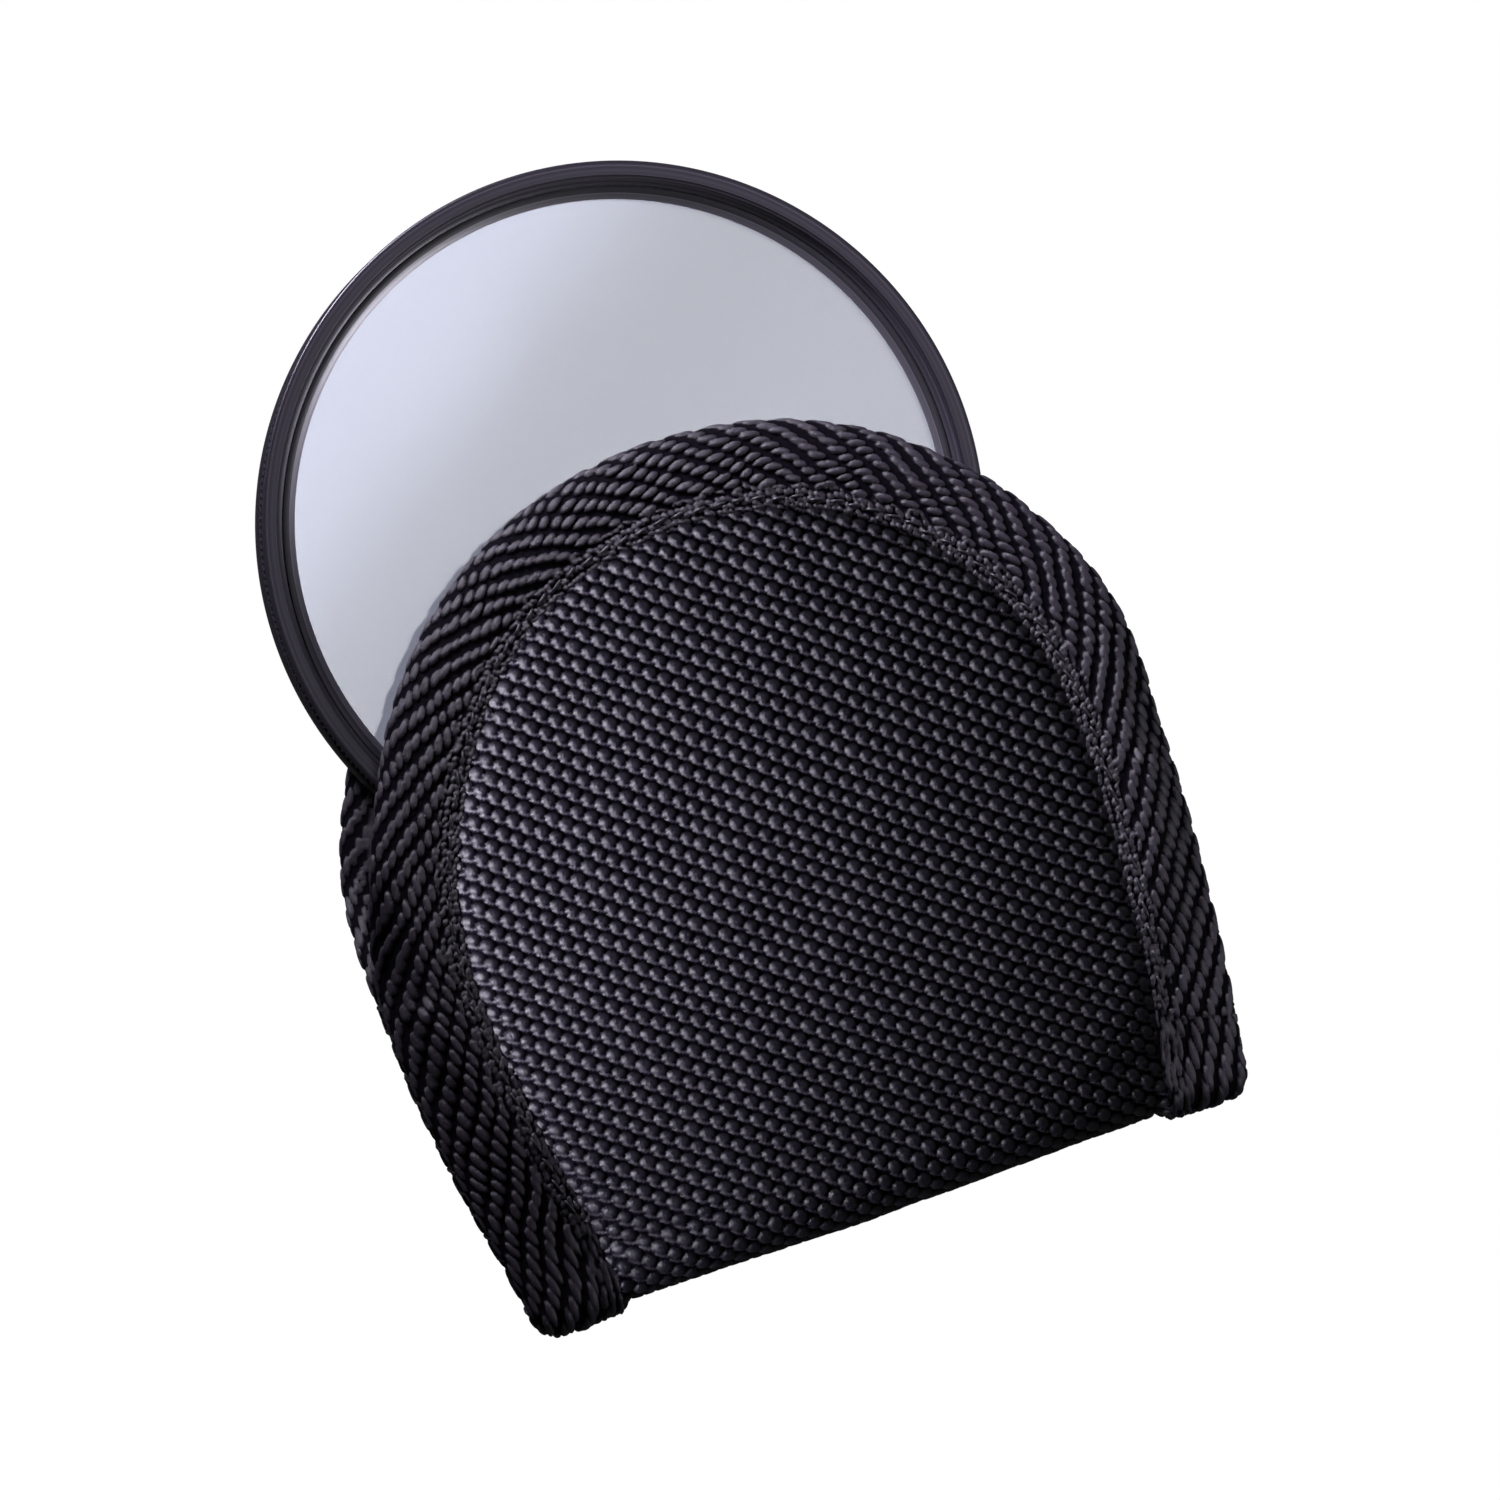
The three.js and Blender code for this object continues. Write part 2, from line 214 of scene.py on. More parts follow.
# ---------------------------------------------------------------- meshes


def add_mesh(name, points, faces, attributes=None, uv=None):
    """points are mm in plan; faces is an (n, 4) array of their indices."""
    mesh = bpy.data.meshes.new(name)
    mesh.vertices.add(len(points))
    mesh.vertices.foreach_set("co", to_row(points).astype(np.float32).ravel())
    size = faces.shape[1]
    mesh.loops.add(len(faces) * size)
    mesh.loops.foreach_set("vertex_index", faces.astype(np.int32).ravel())
    mesh.polygons.add(len(faces))
    mesh.polygons.foreach_set("loop_start", np.arange(0, len(faces) * size, size, dtype=np.int32))
    mesh.polygons.foreach_set("use_smooth", np.full(len(faces), True))
    for key, values in (attributes or {}).items():
        made = mesh.attributes.new(key, "FLOAT", "POINT")
        made.data.foreach_set("value", np.asarray(values, np.float32).ravel())
    if uv is not None:
        layer = mesh.uv_layers.new(name="weave")
        layer.data.foreach_set("uv", uv[faces.ravel()].astype(np.float32).ravel())
    mesh.update(calc_edges=True)
    mesh.validate()
    piece = bpy.data.objects.new(name, mesh)
    bpy.context.scene.collection.objects.link(piece)
    return piece


def grid_faces(rows, columns, close_rows=False, close_columns=False, keep=None, flip=False):
    """Quads between the points of a grid; keep marks the points that may be used."""
    index = np.arange(rows * columns).reshape(rows, columns)
    i = np.arange(rows if close_rows else rows - 1)
    j = np.arange(columns if close_columns else columns - 1)
    a = index[np.ix_(i, j)]
    b = index[np.ix_((i + 1) % rows, j)]
    c = index[np.ix_((i + 1) % rows, (j + 1) % columns)]
    d = index[np.ix_(i, (j + 1) % columns)]
    faces = np.stack([a, d, c, b] if flip else [a, b, c, d], -1).reshape(-1, 4)
    if keep is not None:
        faces = faces[keep.ravel()[faces].all(1)]
    return faces


def compact(points, faces, *others):
    """Drops the points that no face uses, and their values in others."""
    used = np.unique(faces)
    back = np.full(len(points), -1)
    back[used] = np.arange(len(used))
    return points[used], back[faces], *[o[used] for o in others]


def grid_normals(points, close_rows=False):
    if close_rows:
        along_rows = np.roll(points, -1, 0) - np.roll(points, 1, 0)
    else:
        along_rows = np.gradient(points, axis=0)
    made = np.cross(along_rows, np.gradient(points, axis=1))
    return made / np.maximum(np.linalg.norm(made, axis=-1, keepdims=True), 1e-9)


def wander(x, y, scale, seed):
    """A smooth, repeatable wave, mostly from -1 to 1 and about scale mm long."""
    local = np.random.default_rng(seed)
    total = np.zeros_like(x, dtype=float)
    for _ in range(6):
        angle, phase = local.uniform(0, 2 * math.pi, 2)
        rate = 2 * math.pi / (scale * local.uniform(0.7, 1.6))
        total += np.sin(rate * (x * math.cos(angle) + y * math.sin(angle)) + phase)
    return total / 4.0


# ---------------------------------------------------------------- panel fabric


def panel_height(x, y, distance):
    """Height of the outer fabric over the cavity's face: tucked under the binding, then crowned."""
    rise = smooth((distance - PANEL_EDGE) / 3.4)
    crown = 0.3 * smooth((distance - 9.6) / 22)
    soft = 0.10 * wander(x, y, 26, 3) + 0.06 * wander(x, y, 9, 4)
    return lerp(2.15, PANEL_TOP - 0.1, rise) + crown + soft * rise


def panel_surface(x, run, face):
    """The surface that the weave stands on, run mm up the strip from its fold.

    Returns points, distances in from the edge, and how far past the middle of the fold each is."""
    distance = edge_distance(x, np.maximum(run, -6))
    height = panel_height(x, np.maximum(run, 0), distance)
    over, centre = fold_lengths(distance)
    fold_y, fold_up = fold_place(np.maximum(centre - run, 0), height, distance)
    flat = run >= centre
    up = np.where(flat, half_gap(run, distance) + height, fold_up)
    past = centre - run - over
    up = np.where(past >= 0, 0, up)
    return np.stack([x, np.where(flat, run, fold_y), MIDDLE_Z + face * up], -1), distance, past


def domes(along, across, half_length, half_width, flat=1.0):
    """A rounded hump of unit height, dropping away below zero outside its foot.

    flat above 1 gives it a flatter top and steeper sides."""
    inside = 1 - ((along / half_length) ** 2 + (across / half_width) ** 2) ** flat
    return np.where(inside > 0, np.sqrt(np.maximum(inside, 0)), np.maximum(inside, -1) * 0.5)


def turned(a, b, angle):
    return a * math.cos(angle) + b * math.sin(angle), b * math.cos(angle) - a * math.sin(angle)


def plain_weave(a, b, seed):
    """A plain weave: thick round warp beads, and thin weft floats between them.

    Returns the height in mm and how far each point is weft."""
    local = np.random.default_rng(seed)
    cells = (160, 220)
    plump = 1 + 0.10 * local.uniform(-1, 1, cells)
    a = a + 0.06 * wander(a, b, 7, seed)
    b = b + 0.05 * wander(a, b, 6, seed + 1)
    nearest_i, nearest_j = np.rint(a / WARP_PITCH), np.rint(b / WEFT_PITCH)
    warp = np.full(a.shape, -0.5)
    weft = np.full(a.shape, -0.5)
    for step_i in (-1, 0, 1):
        for step_j in (-1, 0, 1):
            i, j = nearest_i + step_i, nearest_j + step_j
            from_a, from_b = a - i * WARP_PITCH, b - j * WEFT_PITCH
            size = plump[i.astype(int) % cells[0], j.astype(int) % cells[1]]
            even = (i + j) % 2 == 0
            along, across = turned(from_a, from_b, BEAD_TURN)
            bead = domes(along, across, BEAD[0] * size, BEAD[1] * size, 1.9) * BEAD[2] * size
            along, across = turned(from_a, from_b - WEFT_SHIFT, WEFT_TURN)
            thin = domes(along, across, WEFT[0], WEFT[1] * size) * WEFT[2] * size - 0.04
            warp = np.where(even, np.maximum(warp, bead), warp)
            weft = np.where(even, weft, np.maximum(weft, thin))
    height = np.maximum(np.maximum(warp, weft), -SUNK)
    return height, smooth((weft - warp) / 0.06 + 0.5) * smooth((weft + 0.02) / 0.08)


def outer_panel(face, name):
    # seven points to a warp pitch and six to a weft pitch
    step_a, step_b = WARP_PITCH / 7, WEFT_PITCH / 6
    a = np.arange(-245, 246) * step_a
    b = np.arange(-62, 520) * step_b
    grid_a, grid_b = np.meshgrid(a, b, indexing="ij")
    x = grid_a * math.cos(WEAVE_TURN) + grid_b * math.sin(WEAVE_TURN)
    run = -grid_a * math.sin(WEAVE_TURN) + grid_b * math.cos(WEAVE_TURN)
    base, distance, past = panel_surface(x, run, face)
    height, weft = plain_weave(grid_a, grid_b, 11 if face > 0 else 31)
    normals = grid_normals(base) * face
    # the relief is lower where the binding presses on it
    shown = height * lerp(0.35, 1.0, smooth((distance - 9.4) / 1.4))
    points = base + normals * (shown[..., None] - SUNK)
    points[..., 0] += skew(points[..., 1], face)
    points[..., 2] = np.where(past > -0.02, MIDDLE_Z, points[..., 2])
    keep = (distance > PANEL_EDGE) & (past < WEFT_PITCH / 4)
    faces = grid_faces(*x.shape, keep=keep, flip=face < 0)
    uv = np.stack([grid_a / WARP_PITCH, grid_b / WEFT_PITCH], -1).reshape(-1, 2)
    # level is the weave's height; the material darkens the colour where it is low, a painted shade
    # between the yarns
    level = np.clip((height + SUNK) / 0.5, 0, 1)
    # the material lightens the colour where weft is 1, a painted highlight on the weft floats
    points, faces, uv, level, weft = compact(
        points.reshape(-1, 3), faces, uv, level.ravel(), weft.ravel()
    )
    return add_mesh(name, points, faces, attributes={"level": level, "weft": weft}, uv=uv)


# ---------------------------------------------------------------- the strip's bound edge

FLOAT_LINE = (-1.195, -0.69)  # from one float to the next in its line, along and across the binding
NEXT_LINE = (-1.0, 1.73)
FLOAT_TURN = math.radians(-4)
FLOAT = (1.12, 0.42)  # half length, half width
FLOAT_HEIGHT = 0.36
FUZZ_PITCH = (0.86, 0.78)  # of the small crumpled floats at the binding's inner edge
SPINE_TOP_Y = 57.5  # the centre line's top end
FOLD_END_LENGTH = 16  # of binding round each end of the fold


def edge_path(step=0.18):
    """Outline places round one panel's edge, right to left, and each one's length along it."""
    inside = np.nonzero(OUTLINE[:, 1] >= FOLD_START_Y)[0]
    lengths = np.concatenate([[0], np.cumsum(np.hypot(*np.diff(OUTLINE, axis=0).T))])
    first, last = lengths[inside[0]], lengths[inside[-1]]
    at = np.linspace(first, last, int((last - first) / step))
    return np.interp(at, lengths, np.arange(len(OUTLINE))), at - first


PATH_POSITION, PATH_LENGTH = edge_path()
PANEL_EDGE_LENGTH = PATH_LENGTH[-1]


def outline_at(position):
    """Points and inward normals at these places, which count along OUTLINE's points."""
    i = np.clip(position.astype(int), 0, len(OUTLINE) - 2)
    share = (position - i)[:, None]
    point = lerp(OUTLINE[i], OUTLINE[i + 1], share)
    normal = lerp(INWARD[i], INWARD[i + 1], share)
    return point, normal / np.linalg.norm(normal, axis=1)[:, None]


def strip_grid(positions, fold_steps, distances, heights, spine=None):
    """Points of the strip's edge band for every station and every (distance, height) pair.

    The stations run over the front panel's edge from right to left, round the left end of the
    fold to the back panel, back to the right, and round the right end of the fold: a closed loop.
    spine is None, or for each column the share of the way to the centre line."""
    share = np.zeros(len(distances)) if spine is None else np.asarray(spine, float)
    point, normal = outline_at(positions)
    plan = point[:, None] + normal[:, None] * distances[None, :, None]
    target = np.stack([np.zeros(len(point)), np.minimum(point[:, 1], SPINE_TOP_Y)], -1)
    plan = lerp(plan, target[:, None], share[None, :, None])
    inset = np.where(share[None] > 0, edge_distance(plan[..., 0], plan[..., 1]), distances)
    gap = half_gap(plan[..., 1], inset)

    def panel(face):
        x = plan[..., 0] + skew(plan[..., 1], face)
        return np.stack([x, plan[..., 1], MIDDLE_Z + face * (gap + heights[None])], -1)

    def fold(side, row):
        start, row_inset = plan[row], inset[row]
        over, centre = fold_lengths(row_inset)
        straight = start[:, 1] - centre
        end_x = side * FOLD_HALF_WIDTH * (1 - share) - side * distances * (1 - share)
        rows = []
        for gone_share in np.linspace(0, 2, 2 * fold_steps + 1)[1:-1]:
            face, part = (1, gone_share) if gone_share <= 1 else (-1, 2 - gone_share)
            gone = part * (straight + over)
            x = lerp(start[:, 0], end_x, smooth(gone / np.maximum(straight, 0.1)))
            fold_y, fold_up = fold_place(np.maximum(gone - straight, 0), heights, row_inset)
            flat = gone < straight
            y = np.where(flat, start[:, 1] - gone, fold_y)
            up = np.maximum(np.where(flat, half_gap(y, row_inset) + heights, fold_up), 0)
            rows.append(np.stack([x, y, MIDDLE_Z + face * up], -1))
        return np.array(rows)

    left, right = fold(-1, len(positions) - 1), fold(1, 0)[::-1]
    return np.concatenate([panel(1), left, panel(-1)[::-1], right])


# the binding's cross-section: (distance in from the edge, height), from its inner edge outside
# the pouch, over the rim, to its inner edge in the cavity
TAPE_SECTION = np.array([
    (10.2, 1.9), (9.9, 2.35), (9.4, 2.55), (8.8, 2.5), (8.2, 2.45), (7.6, 2.5), (6.8, 2.65),
    (5.4, 2.8), (3.8, 2.78), (2.4, 2.62), (1.4, 2.4), (0.7, 2.1), (0.25, 1.7), (0.05, 1.25),
    (0.12, 0.85), (0.45, 0.5), (1.0, 0.3), (2.0, 0.22), (5.0, 0.2), (9.6, 0.2),
])


def resample(section, steps):
    """Points of a section at these steps along it, and their lengths; its corners are eased."""
    lengths = np.concatenate([[0], np.cumsum(np.hypot(*np.diff(section, axis=0).T))])
    at = np.concatenate([[0], np.cumsum(steps)])
    at = np.append(at[at < lengths[-1]], lengths[-1])
    fine = np.linspace(0, lengths[-1], 600)
    line = np.stack([np.interp(fine, lengths, section[:, k]) for k in (0, 1)], 1)
    kernel = np.ones(15) / 15
    padded = np.pad(line, ((7, 7), (0, 0)), mode="edge")
    line = np.stack([np.convolve(padded[:, k], kernel, "valid") for k in (0, 1)], 1)
    return np.stack([np.interp(at, fine, line[:, k]) for k in (0, 1)], 1), at


def slanting_floats(length, across, local):
    """Thick floats that run along the binding, in lines that slant across it."""
    cells = (97, 89)
    plump = 1 + 0.15 * local.uniform(-1, 1, cells)
    nudge = local.uniform(-0.09, 0.09, (2, *cells))
    u = length + 0.22 * wander(length, across, 6, 51)
    v = across + 0.16 * wander(length, across, 7, 52)
    first, second = np.array(FLOAT_LINE), np.array(NEXT_LINE)
    area = first[0] * second[1] - first[1] * second[0]
    nearest_m = np.rint((u * second[1] - v * second[0]) / area)
    nearest_n = np.rint((v * first[0] - u * first[1]) / area)
    turn = FLOAT_TURN + 0.25 * wander(length, across, 12, 53)
    cosine, sine = np.cos(turn), np.sin(turn)
    height = np.full(length.shape, -0.5)
    for step_m in (-2, -1, 0, 1, 2):
        for step_n in (-1, 0, 1):
            m, n = nearest_m + step_m, nearest_n + step_n
            cell = m.astype(int) % cells[0], n.astype(int) % cells[1]
            du = u - m * first[0] - n * second[0] - nudge[0][cell]
            dv = v - m * first[1] - n * second[1] - nudge[1][cell]
            size = plump[cell]
            run, aside = du * cosine + dv * sine, dv * cosine - du * sine
            height = np.maximum(height, domes(run, aside, FLOAT[0] * size, FLOAT[1], 1.8) * size)
    ground = -0.42 + 0.08 * np.cos(u * 9.0) * np.cos(v * 8.2)
    return height, ground


def small_floats(length, across, local):
    """The crumpled, irregular floats under the stitches."""
    cells = (113, 101)
    jitter = local.uniform(-0.24, 0.24, (3, *cells))
    nearest_p, nearest_q = np.rint(length / FUZZ_PITCH[0]), np.rint(across / FUZZ_PITCH[1])
    height = np.full(length.shape, -0.4)
    for step_p in (-1, 0, 1):
        for step_q in (-1, 0, 1):
            p, q = nearest_p + step_p, nearest_q + step_q
            shift = jitter[:, p.astype(int) % cells[0], q.astype(int) % cells[1]]
            du = length - p * FUZZ_PITCH[0] - shift[0]
            dv = across - q * FUZZ_PITCH[1] - shift[1]
            slant = du * 0.94 + dv * 0.34, dv * 0.94 - du * 0.34
            height = np.maximum(height, domes(*slant, 0.52, 0.32, 1.4) * (0.8 + 1.6 * shift[2]))
    return height


def tape_weave(length, across):
    """The binding's relief: small floats at its inner edge, slanting lines of thick ones beyond."""
    local = np.random.default_rng(5)
    thick, ground = slanting_floats(length, across, local)
    small = small_floats(length, across, local)
    wide = smooth((across + 0.5 * wander(length, across, 5, 55) - 2.6) / 0.7)
    return np.maximum(lerp(small, thick, wide), ground)


def edge_binding():
    steps = np.concatenate([np.full(84, 0.15), np.full(4, 0.4), np.full(30, 1.0)])
    section, across = resample(TAPE_SECTION, steps)
    fold_steps = 26
    points = strip_grid(PATH_POSITION, fold_steps, section[:, 0], section[:, 1])
    fold_length = np.linspace(0, FOLD_END_LENGTH, 2 * fold_steps + 1)[1:-1]
    length = np.concatenate([
        PATH_LENGTH,
        PANEL_EDGE_LENGTH + fold_length,
        PANEL_EDGE_LENGTH + FOLD_END_LENGTH + PATH_LENGTH,
        2 * PANEL_EDGE_LENGTH + FOLD_END_LENGTH + fold_length,
    ])
    run, aside = np.meshgrid(length, across, indexing="ij")
    height = tape_weave(run, aside)
    normals = grid_normals(points, close_rows=True)
    inside_out = bool(normals[len(PATH_LENGTH) // 2, 20, 2] < 0)
    if inside_out:
        normals = -normals
    # full relief on the outside, less under the stitches and next to none in the cavity
    outer = smooth(aside / 0.9) * smooth((15.0 - aside) / 2.5)
    outer = outer * lerp(1.0, 0.45, smooth((aside - 8.6) / 1.6))
    body = wander(run, aside * 2, 14, 61) * 0.10
    amount = (FLOAT_HEIGHT * height - 0.16 + body) * lerp(0.2, 1.0, outer)
    points = (points + normals * amount[..., None]).reshape(-1, 3)
    faces = grid_faces(*run.shape, close_rows=True, flip=inside_out)
    uv = np.stack([run, aside], -1).reshape(-1, 2)
    # level is the weave's height; the material darkens the colour where it is low, a painted shade
    # between the floats
    level = np.clip((height + 0.2) / 1.2, 0, 1)
    return add_mesh("edge_binding_tape", points, faces, attributes={"level": level}, uv=uv)


def foam_slab():
    """A slab along the strip, thin under the binding; its two halves meet on the centre line."""
    distances = np.array([0.9, 1.4, 1.8, 3.2, 5.0, 7.0, 8.6, 9.6, 10.6] + [12.0] * 7)
    spine = np.array([0] * 10 + [0.12, 0.3, 0.5, 0.7, 0.86, 1.0])
    full = smooth((distances - 8.7) / 1.5)
    positions = np.append(PATH_POSITION[::6], PATH_POSITION[-1])
    outer = strip_grid(positions, 8, distances, lerp(1.35, 2.0, full), spine)
    inner = strip_grid(positions, 8, distances, lerp(1.05, 0.45, full), spine)
    loop = np.concatenate([outer[:, ::-1], inner], 1)
    faces = grid_faces(*loop.shape[:2], close_rows=True)
    return add_mesh("foam_slab", loop.reshape(-1, 3), faces)


def lining_sheet():
    """The lining's cavity face: one sheet over both panels and round the fold."""
    distances = np.array([9.0, 10.0, 11.0] + [12.5] * 8)
    spine = np.array([0, 0, 0, 0, 0.1, 0.22, 0.38, 0.54, 0.7, 0.86, 1.0])
    heights = np.array([0.34, 0.2, 0.1] + [0.05] * 8)
    positions = np.append(PATH_POSITION[::4], PATH_POSITION[-1])
    points = strip_grid(positions, 8, distances, heights, spine)
    faces = grid_faces(*points.shape[:2], close_rows=True, flip=True)
    return add_mesh("lining_sheet", points.reshape(-1, 3), faces)


def edge_point(position, distance, height, face):
    """Points over a panel at these places along its edge; face is 1 in front and -1 behind."""
    point, normal = outline_at(position)
    plan = point + normal * distance[:, None]
    gap = half_gap(plan[:, 1], np.maximum(distance, 0.1))
    x = plan[:, 0] + skew(plan[:, 1], face)
    # a place on the middle plane has no height, and no gap either
    up = gap * (height > 0) + height
    return np.stack([x, plan[:, 1], MIDDLE_Z + face * up], 1)


def thread_tubes(name, paths, radius):
    """Short round threads with tapered ends, one along each path."""
    sides = 6
    turn = np.arange(sides) * 2 * math.pi / sides
    points, faces, start = [], [], 0
    for path in paths:
        count = len(path)
        along = np.gradient(path, axis=0)
        along /= np.linalg.norm(along, axis=1)[:, None]
        side = np.cross(along, (0.1, 0.2, 1.0))
        side /= np.linalg.norm(side, axis=1)[:, None]
        up = np.cross(side, along)
        taper = np.sqrt(np.clip(1 - np.linspace(-1, 1, count) ** 6, 0.12, 1))
        ring = np.cos(turn)[None, :, None] * side[:, None] + np.sin(turn)[None, :, None] * up[:, None]
        points.append((path[:, None] + ring * radius * taper[:, None, None]).reshape(-1, 3))
        faces.append(grid_faces(count, sides, close_columns=True, flip=True) + start)
        first_cap = start + np.arange(sides)
        last_cap = first_cap[::-1] + (count - 1) * sides
        for cap in (first_cap, last_cap):
            faces.append(np.array([cap[[0, 1, 2, 3]], cap[[0, 3, 4, 5]]]))
        start += count * sides
    return add_mesh(name, np.concatenate(points), np.concatenate(faces))


def binding_stitches():
    local = np.random.default_rng(21)
    paths = []
    pitch, length = 2.75, 2.15
    t = np.linspace(0, 1, 9)
    # each stitch bows up out of the binding and dips into it at both ends
    height = 2.5 + 0.24 * np.sin(math.pi * t) ** 0.6 - 0.34 * (2 * t - 1) ** 8
    for face in (1, -1):
        at = 0.6
        while at + length < PANEL_EDGE_LENGTH:
            run = at + t * length * local.uniform(0.9, 1.05)
            position = np.interp(run, PATH_LENGTH, PATH_POSITION)
            inset = 8.75 + 0.18 * (t - 0.5) * 2 + local.uniform(-0.12, 0.12)
            paths.append(edge_point(position, inset, height, face))
            at += pitch * local.uniform(0.96, 1.04)
    return thread_tubes("binding_stitches", paths, 0.17)


def side_whipping(side, name):
    """Thread wound round both bindings' edges, from the fold to where the sides open."""
    y = OUTLINE[:, 1]
    rows = np.nonzero((y >= 8) & (y <= SEAM_TOP_Y) & (OUTLINE[:, 0] * side > 0))[0][::side]
    quarter = [(0.75, 1.3), (0.5, 1.25), (0.26, 1.12), (0.12, 0.9), (0.05, 0.6), (0.02, 0.3)]
    inset, height = np.array([*quarter, (0.02, 0), *quarter[::-1]]).T
    face = np.array([1] * (len(quarter) + 1) + [-1] * len(quarter))
    slant = np.linspace(0, 5.0 * side, len(inset))
    paths = []
    for start in np.arange(rows[0], rows[-1], 11 * side):
        position = np.clip(start + slant, 1, len(OUTLINE) - 2)
        paths.append(edge_point(position, inset, height, face))
    return thread_tubes(name, paths, 0.15)


# ---------------------------------------------------------------- the filter

THREAD_PITCH = 0.75
FRONT_THREAD = (38.12, 7.35, 8.93)  # radius, lower end, upper end
REAR_THREAD = (38.5, 0.2, 2.0)
GLASS_RADIUS = 37.4
LIP_RADIUS = 36.72  # the painted highlight on the retaining ring's inner edge lies inside this


def revolve(name, section, segments, shift=None, sharp=32):
    """A ring about the filter's axis. shift(radius, z, angle) moves its surface outwards, mm."""
    section = np.array(section, float)
    angle = np.arange(segments) * 2 * math.pi / segments
    radius = np.repeat(section[:, 0][:, None], segments, 1)
    z = np.repeat(section[:, 1][:, None], segments, 1)
    angles = np.repeat(angle[None], len(section), 0)
    if shift is not None:
        radius = radius + shift(radius, z, angles)
    x, y = FILTER_X + radius * np.cos(angles), FILTER_Y + radius * np.sin(angles)
    points = np.stack([x, y, FILTER_Z + z], -1)
    faces = grid_faces(len(section), segments, close_rows=True, close_columns=True)
    piece = add_mesh(name, points.reshape(-1, 3), faces)
    piece.data.set_sharp_from_angle(angle=math.radians(sharp))
    return piece


def dense(start, end, step):
    """Points from start to end, no further apart than step."""
    count = max(2, int(math.ceil(math.hypot(end[0] - start[0], end[1] - start[1]) / step)) + 1)
    return [(lerp(start[0], end[0], t), lerp(start[1], end[1], t)) for t in np.linspace(0, 1, count)]


def thread_shift(thread, depth, radius, z, angle, base=0.0):
    """A right-hand helical thread on its wall, fading out at both ends of its length."""
    wall, low, high = thread
    phase = (z / THREAD_PITCH - angle / (2 * math.pi)) % 1.0
    ends = smooth((z - low) / 0.15) * smooth((high - z) / 0.15)
    on = (np.abs(radius - wall) < 0.03) & (z > low - 0.01) & (z < high + 0.01)
    return np.where(on, base + depth * 2 * np.abs(phase - 0.5) * ends, 0)


def front_ring():
    wall, low, high = FRONT_THREAD
    knurl_low, knurl_high, ridges, depth = 5.95, 8.35, 312, 0.3
    section = [
        (36.3, 3.35), (38.2, 3.35), (38.25, 3.4), (38.25, 3.8), (37.92, 3.8), (37.92, 4.5),
        (38.25, 4.5), (38.25, 5.15), (39.72, 5.15), (39.88, 5.19), (39.96, 5.28), (40.0, 5.4),
        (40.0, 5.68), (39.96, 5.73), (39.62, 5.78), (39.62, 5.92),
        *dense((39.96, knurl_low), (39.96, knurl_high), 0.3),
        (39.62, 8.38), (39.62, 8.52), (39.96, 8.57), (40.0, 8.62), (40.0, 8.98), (39.95, 9.1),
        (39.84, 9.18), (39.7, 9.2), (38.55, 9.2), (38.42, 9.17), (38.36, 9.1), (38.33, 8.98),
        *dense((wall, high), (wall, low), 0.075),
        (38.1, 7.3), (37.6, 7.15), (37.55, 7.1), (37.55, 4.1), (36.3, 4.1),
    ]

    def shift(radius, z, angle):
        knurled = (radius > 39.9) & (z >= knurl_low - 0.001) & (z <= knurl_high + 0.001)
        ends = smooth((z - knurl_low) / 0.2) * smooth((knurl_high - z) / 0.2)
        ridge = -depth + depth * ends * (0.5 + 0.5 * np.cos(ridges * angle))
        return np.where(knurled, ridge, 0) + thread_shift(FRONT_THREAD, 0.34, radius, z, angle)

    return revolve("front_rotating_ring_turned", section, ridges * 4, shift)


def rear_ring():
    wall, low, high = REAR_THREAD
    section = [
        (36.6, 0.25), (36.85, 0.0), (38.15, 0.0), (38.3, 0.08),
        *dense((wall, low), (wall, high), 0.075),
        (38.15, 2.15), (38.0, 2.25), (38.0, 2.6), (39.75, 2.6), (39.92, 2.65), (40.0, 2.8),
        (40.0, 4.75), (39.95, 4.9), (39.8, 5.0), (38.45, 5.0), (38.38, 4.94), (38.38, 4.5),
        (38.8, 4.5), (38.8, 3.8), (38.38, 3.8), (38.38, 3.2), (36.6, 3.2),
    ]

    def shift(radius, z, angle):
        return thread_shift(REAR_THREAD, 0.36, radius, z, angle, base=-0.36)

    return revolve("rear_mount_ring_turned", section, 720, shift)


def retaining_ring():
    section = [
        (36.05, 6.27), (37.45, 6.27), (37.45, 7.0), (37.38, 7.05),
        (37.15, 7.05), (36.98, 7.0), (36.15, 6.5), (36.05, 6.4),
    ]
    return revolve("retaining_ring_turned", section, 360)


def disc(name, low, high):
    """A flat disc with a fine chamfer, as good as closed at its centre."""
    chamfer = min(0.12, (high - low) / 5)
    rim, centre = GLASS_RADIUS - chamfer, 0.004
    section = [
        *dense((centre, low), (rim, low), 4.0),
        (GLASS_RADIUS, low + chamfer), (GLASS_RADIUS, high - chamfer),
        *dense((rim, high), (centre, high), 4.0),
    ]
    return revolve(name, section, 180, sharp=20)


# ---------------------------------------------------------------- materials


